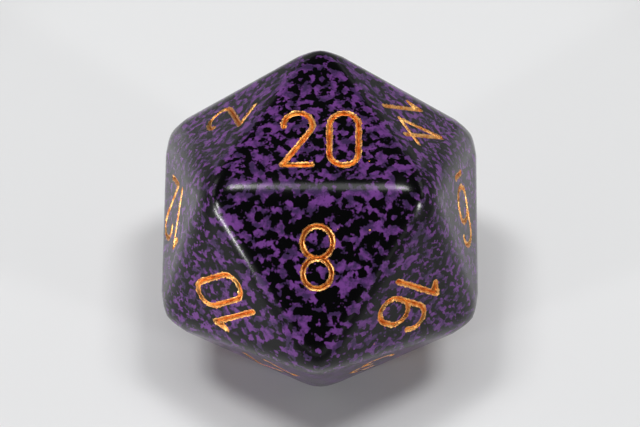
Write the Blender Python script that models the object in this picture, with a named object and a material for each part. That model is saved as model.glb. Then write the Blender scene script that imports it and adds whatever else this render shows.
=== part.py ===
"""A twenty-sided die: one moulded body with engraved numerals, and the ink laid in each of them.

Metres, +Z up. The die stands on face 1 at z = 0, with face 20 on top and face 8 towards -Y.
Opposite faces add up to 21. Every stroke of a numeral is a V-shaped groove with round ends, as a
pointed engraving cutter leaves it, and the ink is a second, slightly smaller solid lying in it.
"""

import math

import bmesh
import bpy
from mathutils import Matrix, Vector

# Body
ACROSS_FLATS = 0.034
FACE_DISTANCE = ACROSS_FLATS / 2
DIHEDRAL_ANGLE = math.acos(-math.sqrt(5) / 3)
CORNER_DISTANCE = FACE_DISTANCE * math.sqrt(15 - 6 * math.sqrt(5))
ROUNDING_RADIUS = 0.0033
BEVEL_WIDTH = ROUNDING_RADIUS * math.tan((math.pi - DIHEDRAL_ANGLE) / 2)
ROUNDING_SEGMENTS = 3
OPPOSITE_SUM = 21

# The upper ten faces, from the top down and anticlockwise from -Y within each level.
UPPER_NUMBERS = (20, 8, 14, 2, 16, 6, 4, 18, 12, 10)

# Each upper numeral's foot points at the edge that its face shares with this neighbour.
STANDS_ON = {20: 8, 8: 20, 14: 20, 2: 20, 16: 8, 6: 14, 4: 11, 18: 5, 12: 2, 10: 8}

# Engraving: the V groove's half width at the face equals its depth.
STROKE_DEPTH = 0.00037
CUTTER_LIFT = 0.00005
CUTTER_RADIUS = STROKE_DEPTH + CUTTER_LIFT
INK_RADIUS = CUTTER_RADIUS - 0.000035
INK_RECESS = 0.00004
STROKE_STAGGER = 0.000004
WELD_DISTANCE = 1e-7

# Digits, measured along the strokes' centre lines
DIGIT_HEIGHT = 0.0066
DIGIT_WIDTH = 0.00305
DIGIT_SPACING = 0.0018
TOP = DIGIT_HEIGHT / 2
SIDE = DIGIT_WIDTH / 2
FLAG_REACH = 0.0012
FOUR_STEM = 0.0006
FOUR_REACH = 0.0019
FOUR_BAR = -0.0021
LOWER_RING = 0.0017
UPPER_RING = TOP - LOWER_RING
RING_SQUEEZE = 0.93
FIVE_BOWL = 0.00185
LOOP_HEIGHT = 0.0039
UNDERLINE_LENGTH = 0.0021
UNDERLINE_DROP = 0.0014
NUMERAL_RISE = 0.0003
ARC_STEP = math.radians(26)

# How far each numeral sits off its face's centre line, and its tilt: the mould is hand finished.
NUDGES = {
    20: (0.00025, -0.0003, 0.0),
    8: (0.0, 0.0002, 0.0),
    2: (0.0002, 0.0, 0.0),
    14: (0.0004, 0.0, math.radians(2)),
    10: (-0.0006, 0.0003, math.radians(-3)),
    16: (0.0005, 0.0, math.radians(2)),
    12: (0.0006, 0.0, math.radians(1)),
    6: (-0.0004, 0.0, 0.0),
}


def clear_scene():
    """Remove every object of the scene the script starts from."""
    for thing in list(bpy.data.objects):
        bpy.data.objects.remove(thing, do_unlink=True)


def material(name, colour, roughness, metallic):
    """A Principled material with one colour."""
    made = bpy.data.materials.new(name)
    made.use_nodes = True
    shader = made.node_tree.nodes["Principled BSDF"]
    shader.inputs["Base Color"].default_value = (*colour, 1.0)
    shader.inputs["Roughness"].default_value = roughness
    shader.inputs["Metallic"].default_value = metallic
    return made


def add_object(name, data):
    """Link new object data into the scene."""
    made = bpy.data.objects.new(name, data)
    bpy.context.scene.collection.objects.link(made)
    return made


# ---- strokes of the digits ---------------------------------------------------------------


def arc(centre, radii, start, end):
    """Points along an ellipse from one angle to another, in degrees anticlockwise from +X."""
    first = math.radians(start)
    sweep = math.radians(end) - first
    steps = max(2, round(abs(sweep) / ARC_STEP))
    points = []
    for step in range(steps + 1):
        angle = first + sweep * step / steps
        points.append((centre[0] + radii[0] * math.cos(angle), centre[1] + radii[1] * math.sin(angle)))
    return points


def ring(centre, radii):
    """A closed stroke round an ellipse."""
    return arc(centre, radii, 0, 360)[:-1], True


def line(*points):
    """An open stroke through points."""
    return list(points), False


def stadium(height, middle):
    """Points round a narrow loop with round ends."""
    straight = height / 2 - SIDE
    upper = arc((0, middle + straight), (SIDE, SIDE), 0, 180)
    return upper + arc((0, middle - straight), (SIDE, SIDE), 180, 360)


def zero():
    """A narrow loop of a digit's full height."""
    return [(stadium(DIGIT_HEIGHT, 0.0), True)]


def one():
    """A stem with a slanted flag."""
    stem_x = FLAG_REACH / 2
    return [
        line((stem_x, TOP), (stem_x, -TOP)),
        line((stem_x, TOP), (stem_x - FLAG_REACH, TOP - FLAG_REACH)),
    ]


def two():
    """A round head running straight down into the foot's left end, and a flat foot."""
    head_y = TOP - SIDE
    corner = (-SIDE, -TOP)
    reach = math.hypot(corner[0], corner[1] - head_y)
    leave = math.degrees(math.atan2(corner[1] - head_y, corner[0]) + math.acos(SIDE / reach))
    head = arc((0, head_y), (SIDE, SIDE), 190, leave)
    return [(head + [corner], False), line(corner, (SIDE, -TOP))]


def three():
    """Two bowls that meet at the waist."""
    waist = TOP - 2 * UPPER_RING
    upper = arc((0, TOP - UPPER_RING), (UPPER_RING * RING_SQUEEZE, UPPER_RING), 160, -90)
    lower = arc((0, waist - LOWER_RING), (LOWER_RING * RING_SQUEEZE, LOWER_RING), 90, -160)
    return [(upper, False), (lower, False)]


def four():
    """A slanted side, a bar that runs past the stem, and the stem."""
    apex = (FOUR_STEM, TOP)
    corner = (-FOUR_REACH, FOUR_BAR)
    return [
        line(apex, corner),
        line(corner, (FOUR_REACH, FOUR_BAR)),
        line(apex, (FOUR_STEM, -TOP)),
    ]


def five():
    """A flat top, a short side and a bowl."""
    shoulder = (-SIDE * 0.8, TOP)
    bowl = arc((-SIDE * 0.13, FIVE_BOWL - TOP), (FIVE_BOWL, FIVE_BOWL), 135, -145)
    return [line(shoulder, (SIDE * 0.9, TOP)), line(shoulder, bowl[0]), (bowl, False)]


def six():
    """A closed loop under an open hook."""
    loop_y = LOOP_HEIGHT / 2 - TOP
    hook = [(-SIDE, loop_y)] + arc((0, TOP - SIDE), (SIDE, SIDE), 180, 5)
    return [(stadium(LOOP_HEIGHT, loop_y), True), (hook, False)]


def seven():
    """A flat top and a slanted leg."""
    corner = (SIDE, TOP)
    return [line((-SIDE, TOP), corner), line(corner, (-SIDE * 0.3, -TOP))]


def eight():
    """Two rings that touch, the lower one the larger."""
    waist = TOP - 2 * UPPER_RING
    return [
        ring((0, TOP - UPPER_RING), (UPPER_RING * RING_SQUEEZE, UPPER_RING)),
        ring((0, waist - LOWER_RING), (LOWER_RING * RING_SQUEEZE, LOWER_RING)),
    ]


def nine():
    """A six turned half round."""
    return [([(-x, -y) for x, y in points], closed) for points, closed in six()]


def underline():
    """The bar that tells a six from a nine."""
    return [line((-UNDERLINE_LENGTH / 2, 0), (UNDERLINE_LENGTH / 2, 0))]


DIGITS = {"0": zero, "1": one, "2": two, "3": three, "4": four,
          "5": five, "6": six, "7": seven, "8": eight, "9": nine}
UNDERLINED = (6, 9)


def half_width(digit):
    """Half the width that a digit takes up in its numeral."""
    if digit == "1":
        return FLAG_REACH / 2
    if digit == "4":
        return FOUR_REACH
    return SIDE


# ---- solids swept along the strokes --------------------------------------------------------


def round_ends(points, radius):
    """Add the stations of a round end past each end of an open stroke: (point, width factor)."""
    stations = [(Vector((x, y, 0)), 1.0) for x, y in points]
    for end, inward in ((0, 1), (-1, -2)):
        tip = Vector((*points[end], 0))
        outward = (tip - Vector((*points[inward], 0))).normalized()
        for angle in (math.radians(35), math.radians(65), math.radians(82)):
            station = (tip + outward * radius * math.sin(angle), math.cos(angle))
            stations.insert(0 if end == 0 else len(stations), station)
    return stations


def swept_stroke(points, closed, radius, lift):
    """A stroke as a square tube standing on its edge, so that its lower half is a V."""
    stations = [(Vector((x, y, 0)), 1.0) for x, y in points] if closed else round_ends(points, radius)
    curve = bpy.data.curves.new("stroke", "CURVE")
    curve.dimensions = "3D"
    curve.twist_mode = "Z_UP"
    curve.bevel_depth = radius
    curve.bevel_resolution = 0
    curve.use_fill_caps = True
    spline = curve.splines.new("POLY")
    spline.points.add(len(stations) - 1)
    for point, (place, factor) in zip(spline.points, stations):
        point.co = (place.x, place.y, lift, 1)
        point.radius = factor
    spline.use_cyclic_u = closed
    return add_object("stroke", curve)


def evaluated_mesh(thing, name):
    """The mesh of an object with its modifiers applied."""
    graph = bpy.context.evaluated_depsgraph_get()
    mesh = bpy.data.meshes.new_from_object(thing.evaluated_get(graph))
    mesh.name = name
    return mesh


def weld(mesh):
    """Join a tube's end caps to its sides."""
    welded = bmesh.new()
    welded.from_mesh(mesh)
    bmesh.ops.remove_doubles(welded, verts=welded.verts[:], dist=WELD_DISTANCE)
    welded.to_mesh(mesh)
    welded.free()


def add_boolean(thing, operation, operand):
    """An exact Boolean modifier."""
    modifier = thing.modifiers.new(operation.lower(), "BOOLEAN")
    modifier.operation = operation
    modifier.solver = "EXACT"
    modifier.object = operand


def shape_solid(name, strokes, radius):
    """The union of a shape's strokes, drawn flat on the XY plane."""
    tubes = []
    for order, (points, closed) in enumerate(strokes):
        curve = swept_stroke(points, closed, radius, CUTTER_LIFT + order * STROKE_STAGGER)
        tube = add_object("tube", evaluated_mesh(curve, "tube"))
        weld(tube.data)
        tubes.append(tube)
        bpy.data.objects.remove(curve, do_unlink=True)
    for tube in tubes[1:]:
        add_boolean(tubes[0], "UNION", tube)
    mesh = evaluated_mesh(tubes[0], name)
    for tube in tubes:
        bpy.data.objects.remove(tube, do_unlink=True)
    return mesh


def below_face(name, mesh):
    """Cut away all of a flat-drawn solid that stands above the ink's surface."""
    solid = bmesh.new()
    solid.from_mesh(mesh)
    everything = solid.verts[:] + solid.edges[:] + solid.faces[:]
    cut = bmesh.ops.bisect_plane(
        solid, geom=everything, dist=WELD_DISTANCE, plane_co=(0, 0, -INK_RECESS), plane_no=(0, 0, 1), clear_outer=True
    )
    rim = [item for item in cut["geom_cut"] if isinstance(item, bmesh.types.BMEdge)]
    bmesh.ops.triangle_fill(solid, edges=rim, use_beauty=True, use_dissolve=False, normal=(0, 0, 1))
    bmesh.ops.recalc_face_normals(solid, faces=solid.faces[:])
    lowered = bpy.data.meshes.new(name)
    solid.to_mesh(lowered)
    solid.free()
    return lowered


# ---- faces and their numerals ---------------------------------------------------------------


def sharp_icosahedron():
    """A sharp-edged icosahedron centred on the origin, face up, with a neighbour towards -Y."""
    solid = bmesh.new()
    bmesh.ops.create_icosphere(solid, subdivisions=1, radius=CORNER_DISTANCE)
    solid.faces.ensure_lookup_table()
    top = solid.faces[0]
    to_top = top.normal.rotation_difference(Vector((0, 0, 1))).to_matrix()
    bmesh.ops.rotate(solid, matrix=to_top, verts=solid.verts)
    solid.normal_update()
    front = next(face for face in top.edges[0].link_faces if face is not top)
    turn = -math.pi / 2 - math.atan2(front.normal.y, front.normal.x)
    bmesh.ops.rotate(solid, matrix=Matrix.Rotation(turn, 3, "Z"), verts=solid.verts)
    solid.normal_update()
    return solid


def level_and_turn(face):
    """Sort key: level from the top, then the turn anticlockwise from -Y."""
    turn = (math.atan2(face.normal.y, face.normal.x) + math.pi / 2) % (2 * math.pi)
    return round(-face.normal.z, 2), 0.0 if turn > 2 * math.pi - 0.01 else round(turn, 2)


def number_faces(solid):
    """The die's number for each face: {number: face}."""
    ordered = sorted(solid.faces, key=level_and_turn)
    numbered = dict(zip(UPPER_NUMBERS, ordered))
    for number in UPPER_NUMBERS:
        opposite = min(solid.faces, key=lambda face: face.normal.dot(numbered[number].normal))
        numbered[OPPOSITE_SUM - number] = opposite
    return numbered


def neighbour_below(number):
    """The number of the face that a numeral's foot points at."""
    if number in STANDS_ON:
        return STANDS_ON[number]
    return OPPOSITE_SUM - STANDS_ON[OPPOSITE_SUM - number]


def face_matrix(numbered, number):
    """Places a numeral drawn on XY on its face: +Y up the numeral, +Z out of the face."""
    face = numbered[number]
    foot_face = numbered[neighbour_below(number)]
    foot_edge = next(edge for edge in face.edges if foot_face in edge.link_faces)
    foot = (foot_edge.verts[0].co + foot_edge.verts[1].co) / 2
    centre = face.calc_center_median()
    up = (centre - foot).normalized()
    right = up.cross(face.normal)
    turned = Matrix((right, up, face.normal)).transposed().to_4x4()
    shift_x, shift_y, tilt = NUDGES.get(number, (0.0, 0.0, 0.0))
    nudge = Matrix.Translation((shift_x, NUMERAL_RISE + shift_y, 0)) @ Matrix.Rotation(tilt, 4, "Z")
    raise_to_stand = Matrix.Translation(centre + Vector((0, 0, FACE_DISTANCE)))
    return raise_to_stand @ turned @ nudge


def numeral_layout(number):
    """Where each shape of a numeral goes: (node suffix, shape name, x, y)."""
    digits = str(number)
    width = sum(2 * half_width(digit) for digit in digits) + DIGIT_SPACING * (len(digits) - 1)
    x = -width / 2
    suffixes = ("tens", "units") if len(digits) == 2 else ("units",)
    placed = []
    for suffix, digit in zip(suffixes, digits):
        x += half_width(digit)
        placed.append((suffix, digit, x, 0.0))
        x += half_width(digit) + DIGIT_SPACING
    if number in UNDERLINED:
        placed.append(("underline", "underline", 0.0, -TOP - UNDERLINE_DROP))
    return placed


# ---- assembly ------------------------------------------------------------------------------------


def make_body(solid):
    """The moulded body, with all its edges and corners rounded, standing on z = 0."""
    bmesh.ops.bevel(
        solid,
        geom=solid.edges[:],
        offset=BEVEL_WIDTH,
        offset_type="OFFSET",
        affect="EDGES",
        segments=ROUNDING_SEGMENTS,
        profile=0.5,
        material=-1,
    )
    bmesh.ops.translate(solid, vec=(0, 0, FACE_DISTANCE), verts=solid.verts)
    mesh = bpy.data.meshes.new("die_body")
    solid.to_mesh(mesh)
    body = add_object("die_body", mesh)
    body.data.materials.append(material("speckled_resin", (0.10, 0.03, 0.15), 0.2, 0.0))
    return body


def make_numerals(numbered, body):
    """Engrave every numeral in the body and lay its ink in the groove."""
    ink = material("copper_ink", (0.75, 0.33, 0.10), 0.35, 0.8)
    shapes = {name: draw() for name, draw in DIGITS.items()}
    shapes["underline"] = underline()
    cutter_meshes = {}
    ink_meshes = {}
    for name, strokes in shapes.items():
        cutter_meshes[name] = shape_solid("groove_" + name, strokes, CUTTER_RADIUS)
        ink_meshes[name] = below_face("ink_" + name, shape_solid("fill_" + name, strokes, INK_RADIUS))
        ink_meshes[name].materials.append(ink)
    cutters = bpy.data.collections.new("groove_cutters")
    bpy.context.scene.collection.children.link(cutters)
    for number in sorted(numbered):
        on_face = face_matrix(numbered, number)
        for suffix, shape, x, y in numeral_layout(number):
            place = on_face @ Matrix.Translation((x, y, 0))
            cutter = bpy.data.objects.new(f"cutter_{number:02d}_{suffix}", cutter_meshes[shape])
            cutter.matrix_world = place
            cutter.hide_render = True
            cutter.display_type = "WIRE"
            cutters.objects.link(cutter)
            add_object(f"ink_{number:02d}_{suffix}", ink_meshes[shape]).matrix_world = place
    engraving = body.modifiers.new("engraving", "BOOLEAN")
    engraving.operation = "DIFFERENCE"
    engraving.solver = "EXACT"
    engraving.operand_type = "COLLECTION"
    engraving.collection = cutters


def main():
    """Build the die."""
    clear_scene()
    moulding = sharp_icosahedron()
    body = make_body(moulding)
    moulding.free()
    guide = sharp_icosahedron()
    make_numerals(number_faces(guide), body)
    guide.free()


main()
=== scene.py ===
"""Looks of a twenty-sided die: a polished speckled casting with copper ink in engraved numerals.

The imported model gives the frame. Its body and its ink nodes are replaced here by finer meshes of
the same size: the casting gets smoothly rounded edges and a real groove for every stroke, and
each digit's ink becomes a thin coat on the walls of its groove, wiped off unevenly at the rim.
A few stray drops of ink lie on the faces. Lengths are metres, in the frame's own axes.
"""

import logging
import math
from dataclasses import dataclass, field
from enum import Enum
from typing import Any, Iterable, Optional, Union

import bmesh
import bpy
from mathutils import Matrix, Vector, noise


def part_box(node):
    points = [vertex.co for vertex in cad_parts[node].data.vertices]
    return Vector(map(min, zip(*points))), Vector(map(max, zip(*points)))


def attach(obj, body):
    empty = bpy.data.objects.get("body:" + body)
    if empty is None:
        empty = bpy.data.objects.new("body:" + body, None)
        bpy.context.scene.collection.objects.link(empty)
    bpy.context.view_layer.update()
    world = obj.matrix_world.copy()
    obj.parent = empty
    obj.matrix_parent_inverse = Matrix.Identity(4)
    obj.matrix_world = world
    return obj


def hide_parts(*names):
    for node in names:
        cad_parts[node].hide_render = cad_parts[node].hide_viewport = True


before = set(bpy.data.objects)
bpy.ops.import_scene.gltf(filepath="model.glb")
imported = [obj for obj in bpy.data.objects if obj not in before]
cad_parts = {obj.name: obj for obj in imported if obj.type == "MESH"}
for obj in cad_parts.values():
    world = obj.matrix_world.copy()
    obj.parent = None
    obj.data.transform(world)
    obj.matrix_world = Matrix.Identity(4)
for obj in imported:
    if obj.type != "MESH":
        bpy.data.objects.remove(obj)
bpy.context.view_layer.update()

MM = 0.001
UP = Vector((0, 0, 1))

# An icosahedron's corner radius over the radius to its flats; its faces, and what opposites add to.
FLAT_TO_CORNER = math.sqrt(15 - 6 * math.sqrt(5))
FACES = 20
OPPOSITE_SUM = 21

# Vertices closer than this are one; a vertex this far past a plane still counts as on it.
MERGE = 0.0005 * MM
SLACK = 0.001 * MM

# How far the wiping pattern moves on from one digit to the next.
SEED_STEP = 7.3

logging.basicConfig(level=logging.INFO, format="%(message)s")
log = logging.getLogger("die")


# ---- shader graph ---------------------------------------------------------------------------


class Signal:
    """A shader socket that can be used in Python arithmetic."""

    def __init__(self, graph: "Graph", socket: Optional[bpy.types.NodeSocket]) -> None:
        """Wrap a socket of a graph."""
        self.graph = graph
        self.socket = socket

    def _math(self, operation: str, first: "Value", second: "Value" = 0.0) -> "Signal":
        """Add one Math node."""
        return self.graph.node("ShaderNodeMath", {"operation": operation}, {0: first, 1: second})

    def __add__(self, other: "Value") -> "Signal":
        """Sum."""
        return self._math("ADD", self, other)

    def __radd__(self, other: "Value") -> "Signal":
        """Sum with a number on the left."""
        return self._math("ADD", other, self)

    def __sub__(self, other: "Value") -> "Signal":
        """Difference."""
        return self._math("SUBTRACT", self, other)

    def __rsub__(self, other: "Value") -> "Signal":
        """Difference from a number on the left."""
        return self._math("SUBTRACT", other, self)

    def __mul__(self, other: "Value") -> "Signal":
        """Product."""
        return self._math("MULTIPLY", self, other)

    def __rmul__(self, other: "Value") -> "Signal":
        """Product with a number on the left."""
        return self._math("MULTIPLY", other, self)


Value = Union[Signal, float, tuple]
Colour = tuple[float, float, float, float]
Point = tuple[float, float]


@dataclass(frozen=True)
class Grain:
    """A fractal noise: size of its lumps in metres, octaves above the first, and their strength."""

    size: float
    detail: float = 2.0
    rough: float = 0.5


class Graph:
    """Builds the node tree of a material or of the world."""

    def __init__(self, tree: bpy.types.NodeTree) -> None:
        """Start from an empty tree."""
        self.tree = tree
        tree.nodes.clear()

    def node(
        self,
        kind: str,
        settings: Optional[dict[str, Any]] = None,
        inputs: Optional[dict[Union[str, int], Value]] = None,
        output: Union[str, int] = 0,
    ) -> Signal:
        """Add a node.

        Args:
            kind: The node's type name.
            settings: Its properties, set before its sockets are read.
            inputs: A value or a Signal for each named or numbered input socket.
            output: The output socket to return.

        Returns:
            The chosen output as a Signal, which is empty for a node without outputs.
        """
        made = self.tree.nodes.new(kind)
        for name, value in (settings or {}).items():
            setattr(made, name, value)
        for name, value in (inputs or {}).items():
            socket = made.inputs[name]
            if isinstance(value, Signal):
                self.tree.links.new(value.socket, socket)
            else:
                socket.default_value = value
        return Signal(self, made.outputs[output] if made.outputs else None)

    def places(self) -> Signal:
        """Object coordinates, in metres."""
        return self.node("ShaderNodeTexCoord", output="Object")

    def noise(self, places: Value, grain: Grain) -> Signal:
        """Fractal noise between 0 and 1, at coordinates in metres."""
        inputs = {"Vector": places, "Scale": 1 / grain.size}
        inputs.update({"Detail": grain.detail, "Roughness": grain.rough})
        return self.node("ShaderNodeTexNoise", {"normalize": True}, inputs)

    def distance(self, places: Value, point: tuple[float, float, float]) -> Signal:
        """How far coordinates are from a point."""
        return self.node("ShaderNodeVectorMath", {"operation": "DISTANCE"}, {0: places, 1: point}, "Value")

    def axis(self, places: Value, name: str) -> Signal:
        """One of the coordinates X, Y and Z."""
        return self.node("ShaderNodeSeparateXYZ", {}, {0: places}, name)

    def step(self, value: Value, low: float, high: float) -> Signal:
        """A smooth step from 0 at low to 1 at high."""
        settings = {"interpolation_type": "SMOOTHSTEP"}
        return self.node("ShaderNodeMapRange", settings, {0: value, 1: low, 2: high, 3: 0.0, 4: 1.0})

    def mix(self, factor: Value, first: Value, second: Value) -> Signal:
        """Mix two colours."""
        settings = {"data_type": "RGBA", "clamp_factor": True}
        return self.node("ShaderNodeMix", settings, {0: factor, 6: first, 7: second}, output=2)

    def bump(self, height: Value, distance: float) -> Signal:
        """Turn a height between 0 and 1 into a normal."""
        return self.node("ShaderNodeBump", {}, {"Height": height, "Distance": distance, "Strength": 1.0})


def rgb(red: float, green: float, blue: float) -> Colour:
    """An opaque linear colour."""
    return (red, green, blue, 1.0)


def new_material(name: str) -> tuple[bpy.types.Material, Graph]:
    """An empty material and its graph.

    Args:
        name: The material's name.

    Returns:
        The material, and the graph that fills it.
    """
    material = bpy.data.materials.new(name)
    material.use_nodes = True
    return material, Graph(material.node_tree)


def surface(graph: Graph, inputs: dict[Union[str, int], Value]) -> None:
    """End a material's graph in a Principled shader."""
    shader = graph.node("ShaderNodeBsdfPrincipled", {}, inputs)
    graph.node("ShaderNodeOutputMaterial", {}, {"Surface": shader})


@dataclass(frozen=True)
class SpeckledResin:
    """Polished resin of black and purple granules that run right through the casting.

    The granules are finer towards the sides, and the black gathers in one patch. The corners are darkened
    with painted shade, as if more of their granules were black.
    """

    centre: tuple[float, float, float]
    speckle: Grain = Grain(1.0 * MM, 2.5, 0.54)
    fine_speckle: Grain = Grain(0.66 * MM, 2.5, 0.54)
    fine_starts: float = 8 * MM
    fine_ends: float = 14 * MM
    fine_depth: float = 0.024
    black_ends: float = 0.465
    light_starts: float = 0.54
    cloud: Grain = Grain(1.1 * MM, 3.0, 0.6)
    indigo_ends: float = 0.38
    purple_starts: float = 0.62
    black: Colour = rgb(0.0012, 0.0012, 0.0014)
    indigo: Colour = rgb(0.042, 0.020, 0.072)
    purple: Colour = rgb(0.150, 0.044, 0.225)
    dark_patch: tuple[float, float, float] = (1 * MM, -12 * MM, 28 * MM)
    patch_core: float = 4 * MM
    patch_reach: float = 13 * MM
    patch_depth: float = 0.035
    # Painted shade at the corners: between these distances from the centre the granules turn darker.
    corner_starts: float = 18.9 * MM
    corner_ends: float = 20.4 * MM
    corner_depth: float = 0.05
    gloss: float = 0.14
    scuff: Grain = Grain(2.2 * MM, 4.0, 0.6)
    scuff_spread: float = 0.08
    ripple: Grain = Grain(1.6 * MM)
    ripple_height: float = 0.004 * MM
    refraction: float = 1.32

    def granules(self, graph: Graph, places: Signal) -> Signal:
        """How light each granule is: low for black, high for purple, lowered at the corners by painted
        shade.

        Args:
            graph: The material's graph.
            places: Object coordinates.

        Returns:
            A value that is stepped into black or purple.
        """
        in_patch = graph.step(graph.distance(places, self.dark_patch), self.patch_reach, self.patch_core)
        # Painted shade: the corners are darkened by pushing more of their granules to black.
        in_shaded_corner = graph.step(graph.distance(places, self.centre), self.corner_starts, self.corner_ends)
        thinning_and_shade = in_patch * self.patch_depth + in_shaded_corner * self.corner_depth
        aside = graph.node("ShaderNodeMath", {"operation": "ABSOLUTE"}, {0: graph.axis(places, "X")})
        fineness = graph.step(aside, self.fine_starts, self.fine_ends)
        coarse = graph.noise(places, self.speckle)
        fine = graph.noise(places, self.fine_speckle)
        return coarse + (fine - coarse - self.fine_depth) * fineness - thinning_and_shade

    def make(self) -> bpy.types.Material:
        """Build the material."""
        material, graph = new_material("speckled_resin")
        places = graph.places()
        light = graph.step(self.granules(graph, places), self.black_ends, self.light_starts)
        depth = graph.step(graph.noise(places, self.cloud), self.indigo_ends, self.purple_starts)
        light_resin = graph.mix(depth, self.indigo, self.purple)
        inputs = {
            "Base Color": graph.mix(light, self.black, light_resin),
            "Roughness": graph.noise(places, self.scuff) * self.scuff_spread + self.gloss,
            "Normal": graph.bump(graph.noise(places, self.ripple), self.ripple_height),
            "IOR": self.refraction,
        }
        surface(graph, inputs)
        return material


@dataclass(frozen=True)
class CopperInk:
    """Metallic copper-gold paint, with flakes and brush-thin patches."""

    bright: Colour = rgb(1.0, 0.56, 0.19)
    deep: Colour = rgb(0.66, 0.20, 0.04)
    tone: Grain = Grain(0.7 * MM, 2.0, 0.6)
    flake: Grain = Grain(0.11 * MM, 2.0, 0.6)
    tone_share: float = 0.6
    flake_share: float = 0.4
    deep_ends: float = 0.38
    bright_starts: float = 0.6
    gloss: float = 0.15
    flake_spread: float = 0.3
    flake_height: float = 0.045 * MM

    def make(self) -> bpy.types.Material:
        """Build the material."""
        material, graph = new_material("copper_ink")
        places = graph.places()
        flakes = graph.noise(places, self.flake)
        tone = graph.noise(places, self.tone) * self.tone_share + flakes * self.flake_share
        blend = graph.step(tone, self.deep_ends, self.bright_starts)
        inputs = {
            "Base Color": graph.mix(blend, self.deep, self.bright),
            "Roughness": flakes * self.flake_spread + self.gloss,
            "Metallic": 1.0,
            "Normal": graph.bump(flakes, self.flake_height),
        }
        surface(graph, inputs)
        return material


@dataclass(frozen=True)
class PaleCard:
    """The matt white surface that the die stands on, with painted shade that greys it far away."""

    white: Colour = rgb(0.82, 0.825, 0.83)
    # Painted shade: the floor turns to this grey between these distances from the die.
    grey: Colour = rgb(0.30, 0.30, 0.305)
    pale_reach: float = 55 * MM
    grey_reach: float = 125 * MM
    roughness: float = 0.85
    fibre: Grain = Grain(3 * MM, 3.0)
    fibre_height: float = 0.01 * MM

    def make(self) -> bpy.types.Material:
        """Build the material."""
        material, graph = new_material("pale_card")
        places = graph.places()
        # Painted shade: the floor greys with distance from the die, standing in for light falling off.
        far = graph.step(graph.distance(places, (0, 0, 0)), self.pale_reach, self.grey_reach)
        inputs = {
            "Base Color": graph.mix(far, self.white, self.grey),
            "Roughness": self.roughness,
            "Normal": graph.bump(graph.noise(places, self.fibre), self.fibre_height),
        }
        surface(graph, inputs)
        return material


# ---- strokes ---------------------------------------------------------------------------------


@dataclass(frozen=True)
class Straight:
    """A straight run of a stroke."""

    length: float


@dataclass(frozen=True)
class Turn:
    """A round run of a stroke: anticlockwise when the angle is positive."""

    radius: float
    degrees: float


@dataclass(frozen=True)
class Stroke:
    """One pass of the engraving cutter, seen from above."""

    start: Point
    heading: float
    moves: tuple[Union[Straight, Turn], ...]
    closed: bool = False


def stroke_between(first: Point, second: Point) -> Stroke:
    """A straight stroke from one point to another.

    Args:
        first: Where the cutter goes in.
        second: Where it comes out.

    Returns:
        The stroke.
    """
    across, along = second[0] - first[0], second[1] - first[1]
    heading = math.degrees(math.atan2(along, across))
    return Stroke(first, heading, (Straight(math.hypot(across, along)),))


def on_circle(centre: Point, radius: float, degrees: float) -> Point:
    """A point on a circle, at an angle from +X."""
    angle = math.radians(degrees)
    return (centre[0] + radius * math.cos(angle), centre[1] + radius * math.sin(angle))


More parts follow.
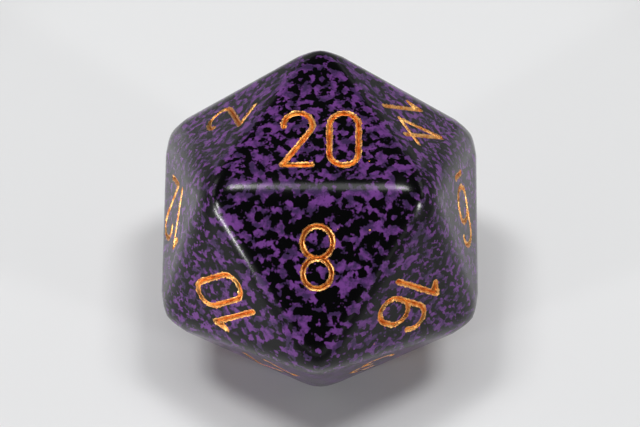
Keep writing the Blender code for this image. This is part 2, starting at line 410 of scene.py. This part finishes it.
@dataclass(frozen=True)
class Digits:
    """The strokes of every digit, measured along the cutter's path."""

    height: float = 6.6 * MM
    width: float = 3.05 * MM
    spacing: float = 1.8 * MM
    flag: float = 1.2 * MM
    web: float = 0.8 * MM
    upper_ring: float = 1.6 * MM
    lower_ring: float = 1.7 * MM
    ring_squeeze: float = 0.93
    loop_height: float = 3.9 * MM
    two_entry: float = 190.0
    three_entry: float = 160.0
    three_sweep: float = 250.0
    four_stem: float = 0.6 * MM
    four_reach: float = 1.9 * MM
    four_bar: float = -2.1 * MM
    five_bowl: float = 1.85 * MM
    five_shift: float = -0.13
    five_left: float = 0.8
    five_right: float = 0.9
    five_entry: float = 135.0
    five_sweep: float = 280.0
    six_sweep: float = 175.0
    seven_foot: float = 0.3
    underline_length: float = 2.1 * MM
    underline_drop: float = 1.4 * MM

    @property
    def top(self) -> float:
        """Half a digit's height."""
        return self.height / 2

    @property
    def side(self) -> float:
        """Half a digit's width."""
        return self.width / 2

    def stadium(self, height: float, base: float) -> Stroke:
        """A closed narrow loop with round ends, standing on a base height.

        Args:
            height: The loop's height along the cutter's path.
            base: Height of the loop's foot.

        Returns:
            The closed stroke.
        """
        run = Straight(height - 2 * self.side)
        arch = Turn(self.side, 180)
        return Stroke((self.side, base + self.side), 90, (run, arch, run, arch), closed=True)

    def zero(self) -> list[Stroke]:
        """A narrow loop."""
        return [self.stadium(self.height, -self.top)]

    def one(self) -> list[Stroke]:
        """A stem with a slanted flag, and a web between the two.

        Returns:
            The strokes.
        """
        head = (self.flag / 2, self.top)
        flag_end = (-self.flag / 2, self.top - self.flag)
        return [
            stroke_between(head, (self.flag / 2, -self.top)),
            stroke_between(head, flag_end),
            stroke_between((self.flag / 2, self.top - self.web), flag_end),
        ]

    def two(self) -> list[Stroke]:
        """A round head that runs straight down to the foot.

        Returns:
            The strokes.
        """
        head_y = self.top - self.side
        corner = (-self.side, -self.top)
        reach = math.hypot(corner[0], corner[1] - head_y)
        leave = math.degrees(math.atan2(corner[1] - head_y, corner[0]) + math.acos(self.side / reach))
        start = on_circle((0, head_y), self.side, self.two_entry)
        head = Turn(self.side, leave - self.two_entry)
        tail = Straight(math.sqrt(reach**2 - self.side**2))
        return [
            Stroke(start, self.two_entry - 90, (head, tail)),
            stroke_between(corner, (self.side, -self.top)),
        ]

    def three(self) -> list[Stroke]:
        """Two bowls that meet at the waist.

        Returns:
            The strokes.
        """
        waist = self.top - 2 * self.upper_ring
        start = on_circle((0, self.top - self.upper_ring), self.upper_ring, self.three_entry)
        return [
            Stroke(start, self.three_entry - 90, (Turn(self.upper_ring, -self.three_sweep),)),
            Stroke((0, waist), 0, (Turn(self.lower_ring, -self.three_sweep),)),
        ]

    def four(self) -> list[Stroke]:
        """A slanted side, a bar that runs past the stem, and the stem.

        Returns:
            The strokes.
        """
        apex = (self.four_stem, self.top)
        corner = (-self.four_reach, self.four_bar)
        return [
            stroke_between(apex, corner),
            stroke_between(corner, (self.four_reach, self.four_bar)),
            stroke_between(apex, (self.four_stem, -self.top)),
        ]

    def five(self) -> list[Stroke]:
        """A flat top, a short side and a bowl.

        Returns:
            The strokes.
        """
        shoulder = (-self.side * self.five_left, self.top)
        centre = (self.side * self.five_shift, self.five_bowl - self.top)
        start = on_circle(centre, self.five_bowl, self.five_entry)
        return [
            stroke_between(shoulder, (self.side * self.five_right, self.top)),
            stroke_between(shoulder, start),
            Stroke(start, self.five_entry - 90, (Turn(self.five_bowl, -self.five_sweep),)),
        ]

    def six(self) -> list[Stroke]:
        """A closed loop under an open hook.

        Returns:
            The strokes.
        """
        loop_y = self.loop_height / 2 - self.top
        rise = Straight(self.top - self.side - loop_y)
        hook = Stroke((-self.side, loop_y), 90, (rise, Turn(self.side, -self.six_sweep)))
        return [self.stadium(self.loop_height, -self.top), hook]

    def seven(self) -> list[Stroke]:
        """A flat top and a slanted leg.

        Returns:
            The strokes.
        """
        corner = (self.side, self.top)
        return [
            stroke_between((-self.side, self.top), corner),
            stroke_between(corner, (-self.side * self.seven_foot, -self.top)),
        ]

    def eight(self) -> list[Stroke]:
        """Two rings that touch.

        Returns:
            The strokes.
        """
        waist = self.top - 2 * self.upper_ring
        return [
            Stroke((0, waist), 0, (Turn(self.upper_ring, 360),), closed=True),
            Stroke((0, waist), 180, (Turn(self.lower_ring, 360),), closed=True),
        ]

    def underline(self) -> list[Stroke]:
        """The bar that tells a six from a nine."""
        half = self.underline_length / 2
        return [stroke_between((-half, 0), (half, 0))]

    def strokes(self, shape: str) -> tuple[list[Stroke], Matrix]:
        """The strokes of a shape, and how the finished shape is squeezed or turned.

        Args:
            shape: A digit, or "underline".

        Returns:
            The strokes and a matrix.
        """
        drawn = {
            "0": self.zero, "1": self.one, "2": self.two, "3": self.three, "4": self.four,
            "5": self.five, "6": self.six, "7": self.seven, "8": self.eight, "9": self.six,
            "underline": self.underline,
        }
        change = Matrix.Identity(4)
        if shape in ("3", "8"):
            change = Matrix.Diagonal((self.ring_squeeze, 1, 1, 1))
        if shape == "9":
            change = Matrix.Rotation(math.pi, 4, "Z")
        return drawn[shape](), change

    def half_width(self, digit: str) -> float:
        """Half the width that a digit takes up in its numeral."""
        return {"1": self.flag / 2, "4": self.four_reach}.get(digit, self.side)


@dataclass(frozen=True)
class Cutter:
    """A V-shaped engraving cutter with a rounded tip, swept along strokes.

    The tip takes an even number of segments, so that the outline splits into equal halves.
    """

    radius: float
    lift: float
    tip_round: float
    hollow: float = 2.0
    step: float = 0.16 * MM
    segments: int = 16
    tip_segments: int = 4
    tip_profile: float = 0.5
    end_steps: int = 8
    stagger: float = 0.003 * MM

    def section(self, solid: bmesh.types.BMesh, stroke: Stroke, lift: float) -> list[bmesh.types.BMEdge]:
        """Set the cutter's outline at a stroke's start, across its heading.

        Args:
            solid: The empty bmesh to draw in.
            stroke: The path.
            lift: Height of the outline's widest point above the face.

        Returns:
            The outline's edges.
        """
        made = bmesh.ops.create_circle(solid, cap_ends=False, segments=self.segments, radius=1)
        for vert in made["verts"]:
            pinched = (math.copysign(abs(value) ** self.hollow, value) for value in vert.co)
            vert.co = Vector(pinched) * self.radius
        tip = min(made["verts"], key=lambda vert: vert.co.y)
        bmesh.ops.bevel(
            solid, geom=[tip], affect="VERTICES", offset=self.tip_round, segments=self.tip_segments,
            profile=self.tip_profile, material=-1,
        )
        angle = math.radians(stroke.heading)
        across = Vector((-math.sin(angle), math.cos(angle), 0))
        ahead = Vector((math.cos(angle), math.sin(angle), 0))
        stand = Matrix((across, UP, ahead)).transposed().to_4x4()
        stand.translation = Vector((*stroke.start, lift))
        bmesh.ops.transform(solid, matrix=stand, verts=solid.verts)
        return solid.edges[:]

    def round_end(self, solid: bmesh.types.BMesh, rim: list[bmesh.types.BMEdge], place: Vector,
                  ahead: Vector, turn: float) -> None:
        """Close an end as the cutter leaves it: half its outline turned half round its own axis.

        Args:
            solid: The swept solid.
            rim: The outline's edges at this end.
            place: The end of the path.
            ahead: The cutter's heading there.
            turn: Half a turn, positive at the start and negative at the end.
        """
        across = Vector((-ahead.y, ahead.x, 0))
        half = [edge for edge in rim if all((vert.co - place).dot(across) > -SLACK for vert in edge.verts)]
        bmesh.ops.spin(
            solid, geom=half, cent=place, axis=UP, angle=turn, steps=self.end_steps, use_merge=False
        )

    def sweep(self, stroke: Stroke, lift: float) -> bmesh.types.BMesh:
        """Sweep the cutter along one stroke.

        Args:
            stroke: The path.
            lift: Height of the outline's widest point above the face.

        Returns:
            A closed solid.
        """
        solid = bmesh.new()
        rim = self.section(solid, stroke, lift)
        angle = math.radians(stroke.heading)
        ahead = Vector((math.cos(angle), math.sin(angle), 0))
        place = Vector((*stroke.start, 0))
        if not stroke.closed:
            self.round_end(solid, rim, place, ahead, math.pi)
        for move in stroke.moves:
            if isinstance(move, Straight):
                count = max(1, math.ceil(move.length / self.step))
                for _ in range(count):
                    made = bmesh.ops.extrude_edge_only(solid, edges=rim)["geom"]
                    verts = [item for item in made if isinstance(item, bmesh.types.BMVert)]
                    rim = [item for item in made if isinstance(item, bmesh.types.BMEdge)
                           and all(vert in verts for vert in item.verts)]
                    bmesh.ops.translate(solid, vec=ahead * (move.length / count), verts=verts)
                place = place + ahead * move.length
            else:
                turn = math.radians(move.degrees)
                centre = place + Vector((-ahead.y, ahead.x, 0)) * move.radius * math.copysign(1, turn)
                count = max(2, math.ceil(abs(turn) * move.radius / self.step))
                made = bmesh.ops.spin(
                    solid, geom=rim, cent=centre, axis=UP, angle=turn, steps=count, use_merge=False
                )["geom_last"]
                rim = [item for item in made if isinstance(item, bmesh.types.BMEdge)]
                swing = Matrix.Rotation(turn, 3, "Z")
                place = centre + swing @ (place - centre)
                ahead = swing @ ahead
        if not stroke.closed:
            self.round_end(solid, rim, place, ahead, -math.pi)
        bmesh.ops.remove_doubles(solid, verts=solid.verts[:], dist=MERGE)
        bmesh.ops.recalc_face_normals(solid, faces=solid.faces[:])
        return solid

    def shape(self, strokes: Iterable[Stroke], change: Matrix) -> bpy.types.Object:
        """The union of a shape's strokes, as one object.

        Args:
            strokes: The shape's strokes.
            change: How the finished shape is squeezed or turned.

        Returns:
            A helper object.
        """
        bodies = []
        for order, stroke in enumerate(strokes):
            solid = self.sweep(stroke, self.lift + order * self.stagger)
            bmesh.ops.transform(solid, matrix=change, verts=solid.verts)
            bodies.append(to_object("stroke", solid))
        first = bodies[0]
        for other in bodies[1:]:
            boolean(first, other, Operation.UNION)
        return first


# ---- mesh helpers ---------------------------------------------------------------------------


class Operation(Enum):
    """How a Boolean combines two solids."""

    UNION = "UNION"
    DIFFERENCE = "DIFFERENCE"


def to_object(name: str, solid: bmesh.types.BMesh) -> bpy.types.Object:
    """Turn a bmesh into a linked object at the origin, and free it.

    Args:
        name: The object's name.
        solid: The bmesh.

    Returns:
        The object.
    """
    mesh = bpy.data.meshes.new(name)
    solid.to_mesh(mesh)
    solid.free()
    made = bpy.data.objects.new(name, mesh)
    bpy.context.scene.collection.objects.link(made)
    return made


def discard(thing: bpy.types.Object) -> None:
    """Remove a helper object and its mesh.

    Args:
        thing: The helper.
    """
    mesh = thing.data
    bpy.data.objects.remove(thing, do_unlink=True)
    bpy.data.meshes.remove(mesh)


def boolean(target: bpy.types.Object, tool: bpy.types.Object, operation: Operation) -> None:
    """Combine a tool with a target's mesh, both of them closed, and discard the tool.

    Args:
        target: The object whose mesh changes.
        tool: The object that joins it or is cut from it.
        operation: How they combine.
    """
    modifier = target.modifiers.new("combine", "BOOLEAN")
    modifier.operation = operation.value
    modifier.solver = "MANIFOLD"
    modifier.object = tool
    graph = bpy.context.evaluated_depsgraph_get()
    combined = bpy.data.meshes.new_from_object(target.evaluated_get(graph))
    before = target.data
    target.modifiers.clear()
    target.data = combined
    bpy.data.meshes.remove(before)
    discard(tool)


def dress(piece: bpy.types.Object, finish: bpy.types.Material, crease: float = 180.0) -> None:
    """Shade a piece smooth, but for edges sharper than the crease in degrees, and give it a finish.

    Args:
        piece: The piece.
        finish: Its only material.
        crease: The sharpest smooth edge, in degrees.
    """
    piece.data.shade_smooth()
    piece.data.set_sharp_from_angle(angle=math.radians(crease))
    piece.data.materials.clear()
    piece.data.materials.append(finish)


# ---- faces and numerals ---------------------------------------------------------------------


@dataclass
class DieBlank:
    """The casting's plain shape: an icosahedron with rounded edges and corners."""

    across_flats: float
    bevel_width: float = 1.9 * MM
    fullness: float = 0.6
    segments: int = 12
    guard: float = 0.12 * MM

    def sharp(self) -> bmesh.types.BMesh:
        """A sharp icosahedron about the origin, a face up and its neighbour towards -Y.

        Returns:
            The solid.
        """
        solid = bmesh.new()
        radius = self.across_flats / 2 * FLAT_TO_CORNER
        bmesh.ops.create_icosphere(solid, subdivisions=1, radius=radius)
        solid.faces.ensure_lookup_table()
        top = solid.faces[0]
        level = top.normal.rotation_difference(UP).to_matrix()
        bmesh.ops.rotate(solid, matrix=level, verts=solid.verts)
        solid.normal_update()
        front = next(face for face in top.edges[0].link_faces if face is not top)
        turn = -math.pi / 2 - math.atan2(front.normal.y, front.normal.x)
        bmesh.ops.rotate(solid, matrix=Matrix.Rotation(turn, 3, "Z"), verts=solid.verts)
        solid.normal_update()
        return solid

    def rounded(self) -> bmesh.types.BMesh:
        """The casting without numerals, standing on z = 0.

        Returns:
            The solid.
        """
        solid = self.sharp()
        bmesh.ops.bevel(
            solid, geom=solid.edges[:], offset=self.bevel_width, offset_type="OFFSET", affect="EDGES",
            segments=self.segments, profile=self.fullness, material=-1,
        )
        flats = sorted(solid.faces, key=lambda face: face.calc_area())[-FACES:]
        bmesh.ops.inset_individual(solid, faces=flats, thickness=self.guard, use_even_offset=True)
        bmesh.ops.translate(solid, vec=(0, 0, self.across_flats / 2), verts=solid.verts)
        return solid


@dataclass
class Numbering:
    """Which number each face carries, and where its numeral lies.

    The upper numbers run from the top down. Each stands on the neighbour that its foot points at.
    A nudge is a shift aside, a shift up and a tilt in degrees.
    """

    blank: DieBlank
    rise: float = 0.3 * MM
    decimals: int = 2
    full_turn_slack: float = 0.01
    upper: tuple[int, ...] = (20, 8, 14, 2, 16, 6, 4, 18, 12, 10)
    stands_on: dict[int, int] = field(default_factory=lambda: {
        20: 8, 8: 20, 14: 20, 2: 20, 16: 8, 6: 14, 4: 11, 18: 5, 12: 2, 10: 8})
    nudges: dict[int, tuple[float, float, float]] = field(default_factory=lambda: {
        20: (0.25 * MM, -0.3 * MM, 0.0),
        8: (0.0, 0.2 * MM, 0.0),
        2: (0.2 * MM, 0.0, 0.0),
        14: (0.4 * MM, 0.0, 2.0),
        10: (-0.6 * MM, 0.3 * MM, -3.0),
        16: (0.5 * MM, 0.0, 2.0),
        12: (0.6 * MM, 0.0, 1.0),
        6: (-0.4 * MM, 0.0, 0.0)})

    def faces(self, solid: bmesh.types.BMesh) -> dict[int, bmesh.types.BMFace]:
        """Number the faces of the sharp solid, from the top down and anticlockwise from -Y.

        Args:
            solid: The sharp icosahedron.

        Returns:
            The face that carries each number.
        """
        def place(face: bmesh.types.BMFace) -> Point:
            """Level from the top, then the turn from -Y."""
            turn = (math.atan2(face.normal.y, face.normal.x) + math.pi / 2) % (2 * math.pi)
            if turn > 2 * math.pi - self.full_turn_slack:
                turn = 0.0
            return round(-face.normal.z, self.decimals), round(turn, self.decimals)

        numbered = dict(zip(self.upper, sorted(solid.faces, key=place)))
        for number in self.upper:
            normal = numbered[number].normal
            numbered[OPPOSITE_SUM - number] = min(solid.faces, key=lambda face: face.normal.dot(normal))
        return numbered

    def foot_neighbour(self, number: int) -> int:
        """The number of the face that a numeral's foot points at.

        Args:
            number: The numeral's own number.

        Returns:
            The neighbour's number.
        """
        if number in self.stands_on:
            return self.stands_on[number]
        return OPPOSITE_SUM - self.stands_on[OPPOSITE_SUM - number]

    def placements(self) -> dict[int, Matrix]:
        """For each number, the matrix from a numeral drawn on XY to its face.

        Returns:
            The matrices, in order of number.
        """
        solid = self.blank.sharp()
        faces = self.faces(solid)
        placed = {}
        for number, face in sorted(faces.items()):
            foot_face = faces[self.foot_neighbour(number)]
            edge = next(edge for edge in face.edges if foot_face in edge.link_faces)
            centre = face.calc_center_median()
            up = (centre - (edge.verts[0].co + edge.verts[1].co) / 2).normalized()
            turned = Matrix((up.cross(face.normal), up, face.normal)).transposed().to_4x4()
            aside, above, tilt = self.nudges.get(number, (0.0, 0.0, 0.0))
            shift = Matrix.Translation((aside, self.rise + above, 0))
            nudge = shift @ Matrix.Rotation(math.radians(tilt), 4, "Z")
            stand = Matrix.Translation(centre + UP * self.blank.across_flats / 2)
            placed[number] = stand @ turned @ nudge
        solid.free()
        return placed


@dataclass(frozen=True)
class Mark:
    """One engraved digit or underline in its place."""

    node: str
    shape: str
    place: Matrix


def numeral_marks(number: int, on_face: Matrix, digits: Digits) -> list[Mark]:
    """Lay out a number's digits side by side, centred on its face.

    Args:
        number: The number to write.
        on_face: The numeral's matrix on its face.
        digits: The digits' shapes.

    Returns:
        The marks, with the name of the ink node that each stands for.
    """
    text = str(number)
    width = sum(2 * digits.half_width(digit) for digit in text) + digits.spacing * (len(text) - 1)
    across = -width / 2
    marks = []
    for suffix, digit in zip(("tens", "units")[-len(text):], text):
        across += digits.half_width(digit)
        place = on_face @ Matrix.Translation((across, 0, 0))
        marks.append(Mark(f"ink_{number:02d}_{suffix}", digit, place))
        across += digits.half_width(digit) + digits.spacing
    if number in (6, 9):
        drop = Matrix.Translation((0, -digits.top - digits.underline_drop, 0))
        marks.append(Mark(f"ink_{number:02d}_underline", "underline", on_face @ drop))
    return marks


@dataclass
class Casting:
    """The die's body with every groove cut in it."""

    blank: DieBlank
    digits: Digits
    cutter: Cutter
    crease_angle: float = 24.0

    def build(self, marks: list[Mark], finish: bpy.types.Material) -> bpy.types.Object:
        """Cut the grooves and dress the body.

        Args:
            marks: Every digit and underline.
            finish: The resin.

        Returns:
            The finished piece.
        """
        body = to_object("speckled_casting", self.blank.rounded())
        shapes = {}
        grooves = bmesh.new()
        for mark in marks:
            if mark.shape not in shapes:
                strokes, change = self.digits.strokes(mark.shape)
                shapes[mark.shape] = self.cutter.shape(strokes, change)
            start = len(grooves.verts)
            grooves.from_mesh(shapes[mark.shape].data)
            bmesh.ops.transform(grooves, matrix=mark.place, verts=grooves.verts[start:])
        boolean(body, to_object("grooves", grooves), Operation.DIFFERENCE)
        for shape in shapes.values():
            discard(shape)
        dress(body, finish, self.crease_angle)
        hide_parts("die_body")
        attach(body, "root")
        return body


@dataclass
class InkCoats:
    """The coat of ink in each digit's groove, wiped unevenly at the rim."""

    digits: Digits
    groove: Cutter
    coat: float = 0.02 * MM
    soak: float = 0.05 * MM
    pool: float = 0.02 * MM
    pool_hollow: float = 2.6
    wipe_low: float = 0.06 * MM
    wipe_high: float = 0.006 * MM
    wipe_grain: float = 0.25 * MM
    wipe_swing: float = 0.06 * MM
    wipe_sink: float = 0.012 * MM
    finer_share: float = 0.5
    finer_scale: float = 2.3
    wipe_cell: float = 0.1 * MM
    cover: float = 1.5 * MM
    crease_angle: float = 40.0
    linings: dict[str, bpy.types.Object] = field(default_factory=dict)

    def blanket(self, seed: float) -> bpy.types.Object:
        """A thick block whose wavy underside is where the cloth wiped the ink away.

        Args:
            seed: Shifts the waves from digit to digit.

        Returns:
            A helper object.
        """
        half_wide = self.digits.four_reach + self.cover / 2
        half_tall = self.digits.top + self.cover / 2
        solid = bmesh.new()
        columns = math.ceil(2 * half_wide / self.wipe_cell)
        rows = math.ceil(2 * half_tall / self.wipe_cell)
        bmesh.ops.create_grid(solid, x_segments=columns, y_segments=rows, size=1)
        bmesh.ops.scale(solid, vec=(half_wide, half_tall, 1), verts=solid.verts)
        for vert in solid.verts:
            spot = Vector((vert.co.x, vert.co.y, seed * MM)) / self.wipe_grain
            swing = noise.noise(spot) + self.finer_share * noise.noise(spot * self.finer_scale)
            level = self.wipe_swing * swing - self.wipe_sink
            vert.co.z = max(-self.wipe_low, min(self.wipe_high, level))
        made = bmesh.ops.extrude_face_region(solid, geom=solid.faces[:])["geom"]
        lid = [item for item in made if isinstance(item, bmesh.types.BMVert)]
        for vert in lid:
            vert.co.z = self.cover
        bmesh.ops.recalc_face_normals(solid, faces=solid.faces[:])
        return to_object("blanket", solid)

    def build(self, mark: Mark, seed: float, finish: bpy.types.Material) -> bpy.types.Object:
        """Make one digit's ink.

        Args:
            mark: The digit and its place.
            seed: Shifts the wiping pattern from digit to digit.
            finish: The ink.

        Returns:
            The finished piece.
        """
        if mark.shape not in self.linings:
            strokes, change = self.digits.strokes(mark.shape)
            lift = self.groove.lift
            outer = Cutter(self.groove.radius + self.soak, lift, self.groove.tip_round)
            inner = Cutter(self.groove.radius - self.coat, lift, self.pool, self.pool_hollow)
            lining = outer.shape(strokes, change)
            boolean(lining, inner.shape(strokes, change), Operation.DIFFERENCE)
            self.linings[mark.shape] = lining
        ink = self.linings[mark.shape].copy()
        ink.data = ink.data.copy()
        bpy.context.scene.collection.objects.link(ink)
        boolean(ink, self.blanket(seed), Operation.DIFFERENCE)
        ink.data.transform(mark.place)
        ink.name = mark.node.replace("ink", "ink_coat")
        ink.data.name = ink.name
        dress(ink, finish, self.crease_angle)
        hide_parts(mark.node)
        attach(ink, "root")
        return ink


@dataclass(frozen=True)
class Fleck:
    """A stray drop of ink on a face: its number, place in the numeral's plane, and radius."""

    number: int
    across: float
    above: float
    radius: float


@dataclass(frozen=True)
class StrayInk:
    """The few drops of ink that were never wiped off."""

    height: float = 0.03 * MM
    oval: float = 0.8
    flecks: tuple[Fleck, ...] = (
        Fleck(20, 5.05 * MM, -2.8 * MM, 0.09 * MM),
        Fleck(8, -5.4 * MM, -2.9 * MM, 0.13 * MM),
        Fleck(8, -2.1 * MM, -3.0 * MM, 0.06 * MM),
        Fleck(20, -5.2 * MM, 0.9 * MM, 0.05 * MM),
        Fleck(16, 5.6 * MM, -1.6 * MM, 0.07 * MM),
        Fleck(3, -4.8 * MM, 1.7 * MM, 0.08 * MM),
        Fleck(11, 4.9 * MM, -2.3 * MM, 0.07 * MM),
    )

    def build(self, placements: dict[int, Matrix], finish: bpy.types.Material) -> bpy.types.Object:
        """Lay the drops on their faces.

        Args:
            placements: Each number's matrix on its face.
            finish: The ink.

        Returns:
            The finished piece.
        """
        drops = bmesh.new()
        for fleck in self.flecks:
            spot = placements[fleck.number] @ Matrix.Translation((fleck.across, fleck.above, 0))
            squash = Matrix.Diagonal((fleck.radius, fleck.radius * self.oval, self.height, 1))
            bmesh.ops.create_icosphere(drops, subdivisions=2, radius=1, matrix=spot @ squash)
        made = to_object("stray_ink", drops)
        dress(made, finish)
        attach(made, "root")
        return made


# ---- studio ---------------------------------------------------------------------------------


def direction(turn: float, elevation: float) -> Vector:
    """The direction at a turn from -Y towards +X and an elevation, both in degrees."""
    turn, rise = math.radians(turn), math.radians(elevation)
    return Vector((math.sin(turn) * math.cos(rise), -math.cos(turn) * math.cos(rise), math.sin(rise)))


@dataclass(frozen=True)
class SoftBox:
    """One soft lamp aimed at the die: direction in degrees, size in metres, and brightness."""

    name: str
    turn: float
    elevation: float
    width: float
    height: float
    glow: float
    distance: float = 0.6

    def build(self, target: Vector) -> None:
        """Hang the lamp.

        Args:
            target: What the lamp is aimed at.
        """
        aim = direction(self.turn, self.elevation)
        light = bpy.data.lights.new(self.name, "AREA")
        light.shape = "RECTANGLE"
        light.size, light.size_y = self.width, self.height
        light.energy = self.glow * math.pi * self.width * self.height
        lamp = bpy.data.objects.new(self.name, light)
        lamp.location = target + aim * self.distance
        lamp.rotation_mode = "QUATERNION"
        lamp.rotation_quaternion = aim.to_track_quat("Z", "Y")
        bpy.context.scene.collection.objects.link(lamp)


@dataclass
class Studio:
    """The pale floor, the soft lamps, the surroundings and the camera."""

    centre: Vector
    distance: float = 171.15 * MM
    elevation: float = 57.874
    turn: float = 1.842
    roll: float = -1.213
    aim_aside: float = -0.027 * MM
    aim_above: float = 1.194 * MM
    lens: float = 84.17
    sensor: float = 36.0
    nearest: float = 1 * MM
    farthest: float = 20.0
    floor_size: float = 3.0
    glow_starts: float = 0.15
    glow_ends: float = 0.7
    horizon_glow: float = 0.5
    back_glow: float = 0.4
    ceiling_glow: float = 0.05
    wall_foot: float = 0.07
    wall_top: float = 0.17
    tint: tuple[float, float, float] = (1.0, 1.0, 1.02)
    lamps: tuple[SoftBox, ...] = (
        SoftBox("left_lamp", turn=-104, elevation=72, width=0.10, height=0.14, glow=28.0),
        SoftBox("right_lamp", turn=104, elevation=72, width=0.10, height=0.14, glow=28.0),
        SoftBox("ceiling_panel", turn=180, elevation=85, width=0.24, height=0.17, glow=4.0),
        SoftBox("left_window", turn=-106, elevation=21, width=0.50, height=0.13, glow=1.6),
        SoftBox("right_window", turn=108, elevation=21, width=0.50, height=0.13, glow=1.3),
        SoftBox("left_strip", turn=-56, elevation=0, width=0.20, height=0.02, glow=105.0),
        SoftBox("left_spot", turn=-60, elevation=13, width=0.04, height=0.08, glow=65.0),
        SoftBox("right_spot", turn=62, elevation=12, width=0.045, height=0.09, glow=65.0),
    )

    def camera(self) -> None:
        """Place the camera."""
        turn, roll = math.radians(self.turn), math.radians(self.roll)
        back = direction(self.turn, self.elevation)
        level_right = Vector((math.cos(turn), math.sin(turn), 0))
        level_up = back.cross(level_right)
        right = math.cos(roll) * level_right + math.sin(roll) * level_up
        up = -math.sin(roll) * level_right + math.cos(roll) * level_up
        data = bpy.data.cameras.new("camera")
        data.lens = self.lens
        data.sensor_width = self.sensor
        data.clip_start, data.clip_end = self.nearest, self.farthest
        camera = bpy.data.objects.new("camera", data)
        camera.matrix_world = Matrix((right, up, back)).transposed().to_4x4()
        aside = right * self.aim_aside + up * self.aim_above
        camera.location = self.centre + back * self.distance + aside
        bpy.context.scene.collection.objects.link(camera)
        bpy.context.scene.camera = camera

    def floor(self) -> None:
        """Lay the pale floor."""
        solid = bmesh.new()
        bmesh.ops.create_grid(solid, x_segments=1, y_segments=1, size=self.floor_size / 2)
        made = to_object("floor", solid)
        made.data.materials.append(PaleCard().make())

    def surroundings(self) -> None:
        """A pale wall all round, paler at the sides, and a dim ceiling for the flats to reflect."""
        world = bpy.data.worlds.new("surroundings")
        bpy.context.scene.world = world
        world.use_nodes = True
        graph = Graph(world.node_tree)
        ahead = graph.node("ShaderNodeTexCoord", output="Generated")
        behind = graph.axis(ahead, "Y")
        around = graph.step(behind, self.glow_ends, self.glow_starts) * self.horizon_glow + self.back_glow
        wall = graph.step(graph.axis(ahead, "Z"), self.wall_top, self.wall_foot)
        glow = wall * around + self.ceiling_glow
        colour = graph.node("ShaderNodeVectorMath", {"operation": "SCALE"}, {0: self.tint, "Scale": glow})
        background = graph.node("ShaderNodeBackground", {}, {"Color": colour, "Strength": 1.0})
        graph.node("ShaderNodeOutputWorld", {}, {"Surface": background})

    def build(self) -> None:
        """Set the whole studio."""
        self.camera()
        self.floor()
        for lamp in self.lamps:
            lamp.build(self.centre)
        self.surroundings()
        bpy.context.scene.view_settings.view_transform = "Standard"


def report_piece(piece: bpy.types.Object) -> None:
    """Log a finished piece and its number of faces."""
    log.info("%s: %d faces", piece.name, len(piece.data.polygons))


def main() -> None:
    """Build the studio, the casting, the ink and the stray drops."""
    low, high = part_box("die_body")
    across_flats = high[2] - low[2]
    centre = Vector((0, 0, across_flats / 2))
    Studio(centre).build()

    digits = Digits()
    blank = DieBlank(across_flats)
    groove = Cutter(radius=0.385 * MM, lift=0.05 * MM, tip_round=0.07 * MM)
    placements = Numbering(blank).placements()
    marks = []
    for number, place in placements.items():
        marks += numeral_marks(number, place, digits)
    report_piece(Casting(blank, digits, groove).build(marks, SpeckledResin(tuple(centre)).make()))

    ink = CopperInk().make()
    coats = InkCoats(digits, groove)
    for order, mark in enumerate(marks):
        report_piece(coats.build(mark, order * SEED_STEP, ink))
    for lining in coats.linings.values():
        discard(lining)
    report_piece(StrayInk().build(placements, ink))


if __name__ == "__main__":
    main()
